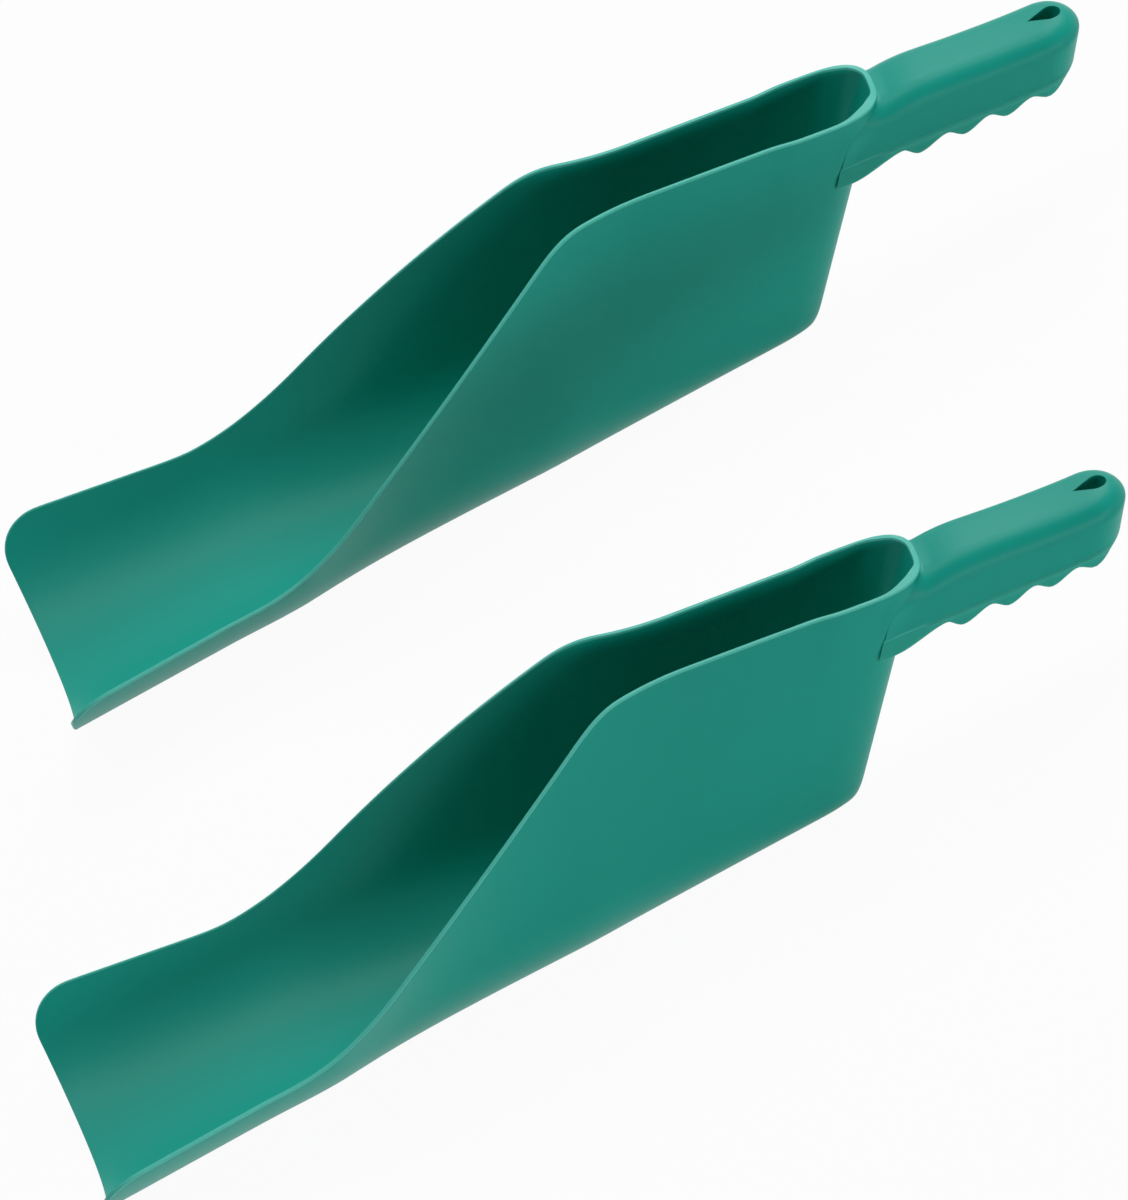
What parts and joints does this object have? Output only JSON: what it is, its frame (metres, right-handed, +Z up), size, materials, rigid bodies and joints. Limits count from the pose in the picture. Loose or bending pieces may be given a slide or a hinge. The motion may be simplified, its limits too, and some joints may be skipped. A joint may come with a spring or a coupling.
{
  "type": "gutter scoop pair",
  "caption": "Pair of one-handed gutter scoops: a wide curved tip and a long blade that narrows into a deep pocket, with a finger-grip handle and a hanging hole.",
  "frame": {"origin": "on the ground below the middle of the pair, at the bottom centre of its bounding box", "axes": "+X from the tips towards the handles, +Y from the front scoop towards the back one, +Z up"},
  "size_m": [0.4567, 0.3554, 0.0912],
  "materials": {
    "scoop_green": "satin moulded polypropylene, fine even grain",
    "grip_green": "satin moulded polypropylene, slightly paler"
  },
  "bodies": {
    "back_scoop": {"back_scoop_shell": "scoop_green", "back_scoop_grip_insert": "grip_green"},
    "front_scoop": {"front_scoop_shell": "scoop_green", "front_scoop_grip_insert": "grip_green"}
  },
  "joints": [
    {"name": "front_scoop_lift", "type": "slide", "parent": "back_scoop", "child": "front_scoop", "axis": [0, 0, 1], "range_m": [0, 0.25]}
  ]
}
